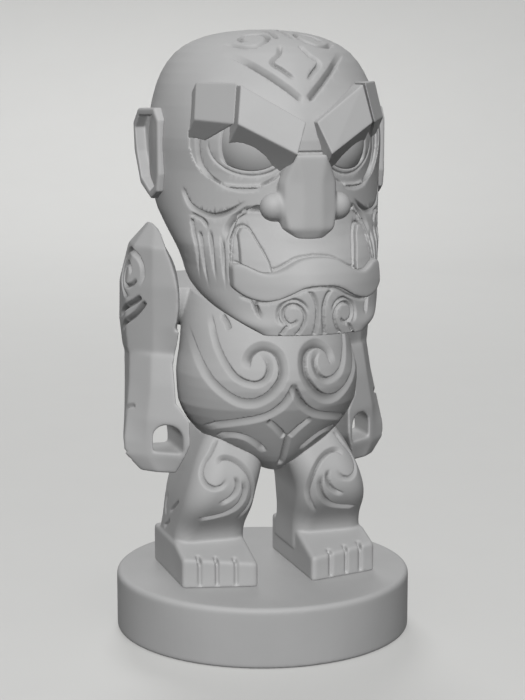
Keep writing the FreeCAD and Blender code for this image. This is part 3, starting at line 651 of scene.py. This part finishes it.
def crown_lines():
    return [
        Stroke(FRONT, [(1.3, 161.0), (3.9, 163.4), (7.5, 166.4), (11.0, 169.2), (14.6, 171.9), (18.2, 174.2)],
               ramp=1.2, slope_left=True, ends=(0.08, 0.35), depth=1.1),
        Stroke(TOP, [(1.6, -34.8), (4.2, -32.4), (6.6, -29.8), (4.0, -28.2), (2.4, -24.4)], ramp=0.8,
               slope_left=False, ends=(0.15, 0.15), depth=0.9),
        Stroke(TOP, [(16.8, -14.6), (14.6, -18.6), (12.0, -21.6), (8.6, -22.8), (5.2, -21.0), (4.0, -17.6),
                     (5.4, -13.8), (9.0, -12.6), (12.0, -14.4), (12.0, -17.4), (9.6, -18.6)], ramp=0.9,
               slope_left=False, ends=(0.12, 0.12)),
        Stroke(TOP, [(2.0, -21.0), (1.6, -14.0), (2.6, -6.0), (5.4, 0.0)], ramp=0.8, slope_left=False,
               ends=(0.15, 0.3), depth=0.9),
    ]


def nape_lines():
    """The back of the head carries the same scrolls as the crown."""
    return [
        Stroke(BACK, rolled_up((15.0, 150.0), 2.0, 7.6, 60, 470), ramp=0.9, slope_left=True,
               ends=(0.12, 0.2)),
        Stroke(BACK, [(1.4, 168.0), (3.0, 160.0), (3.6, 148.0), (6.0, 138.0), (12.0, 131.0)], ramp=1.1,
               slope_left=True, ends=(0.1, 0.3)),
    ]


def shoulder_lines():
    middle = (12.0, 109.4)
    return [
        Stroke(LEFT, rolled_up(middle, 7.6, 7.0, -110, 215, 12), ramp=0.9, slope_left=True,
               ends=(0.12, 0.12)),
        Stroke(LEFT, rolled_up(middle, 5.2, 2.2, 200, 560, 12), ramp=0.8, slope_left=True, ends=(0.1, 0.1)),
        Stroke(LEFT, [(5.8, 102.2), (10.4, 99.2), (19.4, 94.8)], ramp=0.9, wall=2.0, slope_left=True,
               ends=(0.12, 0.3), depth=1.3),
        Stroke(LEFT, [(4.4, 101.0), (9.4, 95.8), (18.0, 90.4)], ramp=0.9, wall=2.0, slope_left=True,
               ends=(0.12, 0.3), depth=1.3),
    ]


def fist_lines():
    return [
        Stroke(LEFT, [(5.2, 69.2), (8.0, 68.4), (8.8, 66.0)], ramp=0.8, ends=(0.2, 0.3), depth=0.6),
        Stroke(LEFT, [(4.4, 55.6), (10.0, 54.6), (14.0, 55.4)], ramp=0.6, ends=(0.25, 0.3), depth=0.45),
        Stroke(LEFT, [(4.4, 53.2), (9.0, 52.4), (13.0, 53.2)], ramp=0.6, ends=(0.25, 0.3), depth=0.4),
    ]


# ---------------------------------------------------------------- operators

HANDS = (("left", 1), ("right", -1))


def resin_material():
    look = bpy.context.scene.tiki_look
    return bpy.data.materials.get("cast grey resin") or cast_resin(tuple(look.resin))


def hand_over(piece, body, *nodes):
    """Gives a finished piece its body, finish and the blocks that it stands for."""
    if not piece.data.materials:
        piece.data.materials.append(resin_material())
    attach(piece, body)
    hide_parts(*nodes)


def cast_piece(node, body, strokes=(), fineness=1.0, softness=1, sides=(1, -1)):
    """Softened and carved resin piece in place of one block."""
    cast = bpy.context.scene.tiki_cast
    piece = softened(node, node + "_cast", cast.grain * fineness, cast.soften * softness)
    if strokes:
        carve(piece, strokes, resin_material(), sides)
    thinned(piece, cast.most_faces)
    hand_over(piece, body, node)
    return piece


class TIKI_OT_torso(bpy.types.Operator):
    """Make the torso with its chest scrolls and belly lines"""
    bl_idname = "tiki.torso"
    bl_label = "Torso"

    def execute(self, context):
        cast_piece("torso", "base", chest_lines() + belly_lines())
        return {"FINISHED"}


class TIKI_OT_legs(bpy.types.Operator):
    """Make both legs with their knee scrolls"""
    bl_idname = "tiki.legs"
    bl_label = "Legs"

    def execute(self, context):
        for side, hand in HANDS:
            cast_piece(side + "_leg", "base", knee_lines() + shin_lines(), softness=2, sides=(hand,))
        return {"FINISHED"}


class TIKI_OT_arms(bpy.types.Operator):
    """Make both arms with their shoulder scrolls and finger lines"""
    bl_idname = "tiki.arms"
    bl_label = "Arms"

    def execute(self, context):
        for side, hand in HANDS:
            cast_piece(side + "_arm", side + "_arm_unit", shoulder_lines() + fist_lines(), softness=5,
                       sides=(hand,))
        return {"FINISHED"}


class TIKI_OT_head(bpy.types.Operator):
    """Make the head with the lines of its crown, face, chin and nape"""
    bl_idname = "tiki.head"
    bl_label = "Head"

    def execute(self, context):
        cast_piece("head", "head_unit", face_lines() + crown_lines() + chin_lines() + nape_lines(), 0.9)
        return {"FINISHED"}


class TIKI_OT_features(bpy.types.Operator):
    """Make the brows, nose, lip, ears, eyes and fangs"""
    bl_idname = "tiki.features"
    bl_label = "Brows, nose, lip, ears, eyes and fangs"

    def execute(self, context):
        cast_piece("nose", "head_unit", fineness=0.8, softness=9)
        cast_piece("lower_lip", "head_unit", fineness=0.8, softness=7)
        for side, _ in HANDS:
            for part in ("inner_brow", "outer_brow", "ear", "eye", "fang"):
                cast_piece(side + "_" + part, "head_unit", fineness=0.6, softness=2)
        return {"FINISHED"}


class TIKI_OT_plinth(bpy.types.Operator):
    """Make the round plinth"""
    bl_idname = "tiki.plinth"
    bl_label = "Plinth"

    def execute(self, context):
        cast_piece("plinth", "base", fineness=1.3)
        return {"FINISHED"}


class TIKI_OT_hardware(bpy.types.Operator):
    """Finish the screws, pins, dowels and washer"""
    bl_idname = "tiki.hardware"
    bl_label = "Hidden hardware"

    def execute(self, context):
        finishes = {
            "foot_screws": turned_steel("zinc screws", (0.62, 0.62, 0.64), (1.0, 1.0, 3.0)),
            "neck_post": turned_steel("neck post steel", (0.56, 0.56, 0.58), (0.2, 0.2, 2.0)),
            "left_shoulder_pin": turned_steel("pin steel", (0.58, 0.58, 0.6), (2.0, 0.2, 0.2)),
            "hip_dowels": beech(),
            "neck_washer": white_nylon(),
        }
        finishes["right_shoulder_pin"] = finishes["left_shoulder_pin"]
        for node, material in finishes.items():
            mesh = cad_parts[node].data
            mesh.materials.clear()
            mesh.materials.append(material)
        return {"FINISHED"}


SWEEP_FLAT = 0.9
SWEEP_BEND = 0.7
SWEEP_TOP = 2.0
SWEEP_STEPS = 24
SWEEP_SEGMENTS = 96
MIDDLE = Vector((0.0, 0.0, 0.1))
AMBIENT_COLOUR = (0.95, 0.97, 1.0, 1.0)
AMBIENT_STRENGTH = 0.045
SENSOR_WIDTH = 36.0


def direction(azimuth, elevation):
    """Unit vector out from the figure; azimuth 0 is in front of it."""
    flat = math.cos(elevation)
    return Vector((math.sin(azimuth) * flat, -math.cos(azimuth) * flat, math.sin(elevation)))


def soft_lamp(name, azimuth, elevation, distance, width, watts, shadow=True, gloss=True):
    """Square soft lamp in a direction (degrees) from the figure's middle, looking at it."""
    light = bpy.data.lights.new(name, "AREA")
    light.size = width
    light.energy = watts
    light.use_shadow = shadow
    lamp = bpy.data.objects.new(name, light)
    out = direction(math.radians(azimuth), math.radians(elevation))
    lamp.visible_glossy = gloss
    lamp.location = MIDDLE + out * distance
    lamp.rotation_euler = out.to_track_quat("Z", "Y").to_euler()
    bpy.context.scene.collection.objects.link(lamp)


class TIKI_OT_stage(bpy.types.Operator):
    """Make the floor, the lamps and the camera"""
    bl_idname = "tiki.stage"
    bl_label = "Stage"

    def execute(self, context):
        look = context.scene.tiki_look
        self.make_floor(look)
        self.make_lamps(context.scene)
        self.make_camera(context.scene, look)
        return {"FINISHED"}

    def make_floor(self, look):
        """A round floor that curves up into a wall all round, like a studio's paper sweep."""
        profile = [Vector((0.0, 0.0, 0.0)), Vector((SWEEP_FLAT, 0.0, 0.0))]
        for step in range(1, SWEEP_STEPS + 1):
            turn = math.radians(90.0 * step / SWEEP_STEPS)
            profile.append(Vector((SWEEP_FLAT + SWEEP_BEND * math.sin(turn), 0.0,
                                   SWEEP_BEND * (1.0 - math.cos(turn)))))
        profile.append(Vector((SWEEP_FLAT + SWEEP_BEND, 0.0, SWEEP_TOP)))
        work = bmesh.new()
        run = [work.verts.new(point) for point in profile]
        edges = [work.edges.new(pair) for pair in zip(run, run[1:])]
        bmesh.ops.spin(work, geom=run + edges, axis=(0, 0, 1), cent=(0, 0, 0), steps=SWEEP_SEGMENTS,
                       angle=2 * math.pi)
        bmesh.ops.remove_doubles(work, verts=work.verts, dist=MM)
        mesh = bpy.data.meshes.new("floor")
        work.to_mesh(mesh)
        work.free()
        mesh.shade_smooth()
        floor = bpy.data.objects.new("floor", mesh)
        bpy.context.scene.collection.objects.link(floor)
        mesh.materials.append(plain_paint("floor paint", tuple(look.floor), 0.85))
        floor.visible_diffuse = False

    def make_lamps(self, scene):
        soft_lamp("key", -20.0, 37.0, 3.0, 0.9, 108.0, shadow=False)
        soft_lamp("top", -10.0, 80.0, 1.3, 0.5, 2.0)
        soft_lamp("back", 168.0, 32.0, 1.4, 0.5, 8.0, gloss=False)
        world = bpy.data.worlds.new("studio")
        world.use_nodes = True
        ambient = world.node_tree.nodes["Background"]
        ambient.inputs["Color"].default_value = AMBIENT_COLOUR
        ambient.inputs["Strength"].default_value = AMBIENT_STRENGTH
        scene.world = world
        scene.view_settings.view_transform = "Standard"

    def make_camera(self, scene, look):
        aim = Vector((0.0, 0.0, look.aim_height))
        out = direction(look.azimuth, look.elevation)
        camera = bpy.data.cameras.new("camera")
        camera.lens = look.lens
        camera.sensor_width = SENSOR_WIDTH
        camera.clip_start = 0.01
        camera.clip_end = 50.0
        holder = bpy.data.objects.new("camera", camera)
        holder.location = aim + out * look.distance
        holder.rotation_euler = (-out).to_track_quat("-Z", "Y").to_euler()
        scene.collection.objects.link(holder)
        scene.camera = holder


class TIKI_PT_panel(bpy.types.Panel):
    """Buttons for each piece of the figure"""
    bl_idname = "TIKI_PT_panel"
    bl_label = "Tiki figure"
    bl_space_type = "VIEW_3D"
    bl_region_type = "UI"
    bl_category = "Tiki"

    def draw(self, context):
        scene = context.scene
        for group in (scene.tiki_cast, scene.tiki_carve, scene.tiki_look):
            box = self.layout.box()
            for name in group.__annotations__:
                box.prop(group, name)
        for operator in OPERATORS:
            self.layout.operator(operator.bl_idname)


SETTINGS = (("tiki_cast", TikiCastSettings), ("tiki_carve", TikiCarveSettings),
            ("tiki_look", TikiLookSettings))
OPERATORS = (TIKI_OT_stage, TIKI_OT_plinth, TIKI_OT_legs, TIKI_OT_torso, TIKI_OT_arms, TIKI_OT_head,
             TIKI_OT_features, TIKI_OT_hardware)


def register():
    for name, group in SETTINGS:
        bpy.utils.register_class(group)
        setattr(bpy.types.Scene, name, PointerProperty(type=group))
    for operator in OPERATORS:
        bpy.utils.register_class(operator)
    bpy.utils.register_class(TIKI_PT_panel)


def unregister():
    bpy.utils.unregister_class(TIKI_PT_panel)
    for operator in reversed(OPERATORS):
        bpy.utils.unregister_class(operator)
    for name, group in reversed(SETTINGS):
        delattr(bpy.types.Scene, name)
        bpy.utils.unregister_class(group)


def main():
    register()
    for operator in OPERATORS:
        getattr(bpy.ops.tiki, operator.bl_idname.split(".")[1])()
    bpy.context.view_layer.update()


if __name__ == "__main__":
    main()
